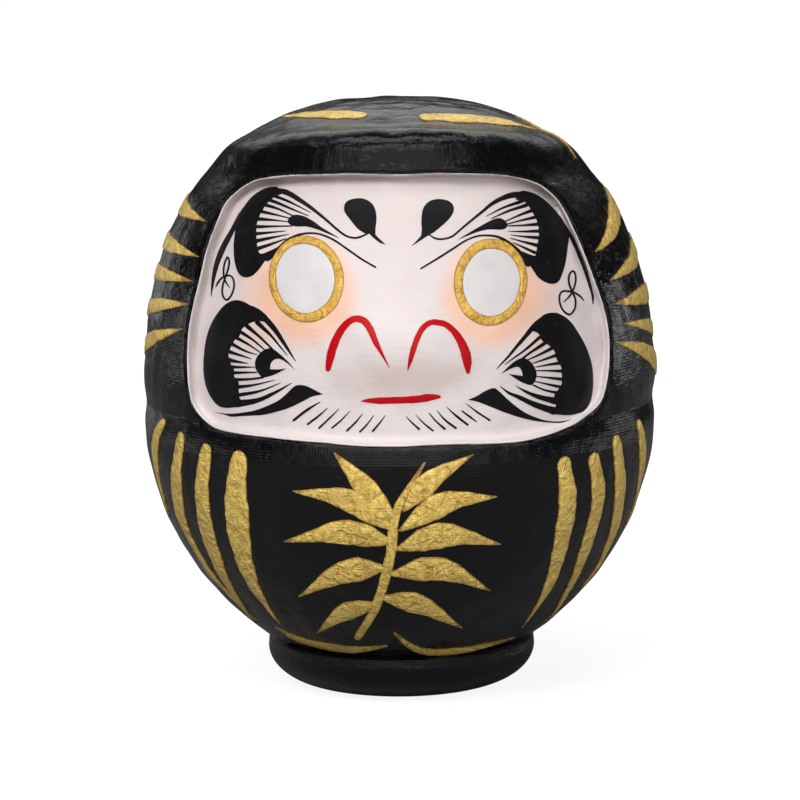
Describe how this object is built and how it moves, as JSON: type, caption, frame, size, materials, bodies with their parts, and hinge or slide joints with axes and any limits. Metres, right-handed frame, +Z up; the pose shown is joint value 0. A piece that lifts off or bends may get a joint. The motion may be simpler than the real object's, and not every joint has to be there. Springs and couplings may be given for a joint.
{
  "type": "daruma doll",
  "caption": "Round black papier-mache roly-poly doll: recessed white face with black brows and whiskers, gold-ringed blank eyes, gold brush strokes and leaf spray on the belly, weighted foot.",
  "frame": {"origin": "centre of the foot's underside, on the floor plane", "axes": "+Z up through the crown; the face looks along -Y; +X is the doll's own left, the viewer's right"},
  "size_m": [0.157, 0.1565, 0.18],
  "materials": {
    "black_lacquer": "semi-gloss black lacquer on pulp",
    "bare_pulp": "bare",
    "clay": "unglazed",
    "card": "matte",
    "face_white": "satin paint",
    "eye_white": "satin paint",
    "gold_paint": "raised metallic gold paint",
    "black_ink": "satin paint",
    "red_paint": "gloss paint"
  },
  "bodies": {
    "root": {"front_shell": "black_lacquer", "rear_shell": "black_lacquer", "seam_strip": "bare_pulp", "foot_dish": "black_lacquer", "clay_weight": "clay", "base_card": "card", "face_coat": "face_white", "right_eye_white": "eye_white", "left_eye_white": "eye_white", "right_eye_ring": "gold_paint", "left_eye_ring": "gold_paint", "right_brow": "black_ink", "left_brow": "black_ink", "right_whisker": "black_ink", "left_whisker": "black_ink", "chin_whiskers": "black_ink", "nose_strokes": "red_paint", "mouth_stroke": "red_paint", "ear_curls": "black_ink", "right_hood_lines": "gold_paint", "left_hood_lines": "gold_paint", "crown_lines": "gold_paint", "right_robe_lines": "gold_paint", "left_robe_lines": "gold_paint", "belly_ornament": "gold_paint", "hem_lines": "gold_paint"}
  },
  "joints": []
}
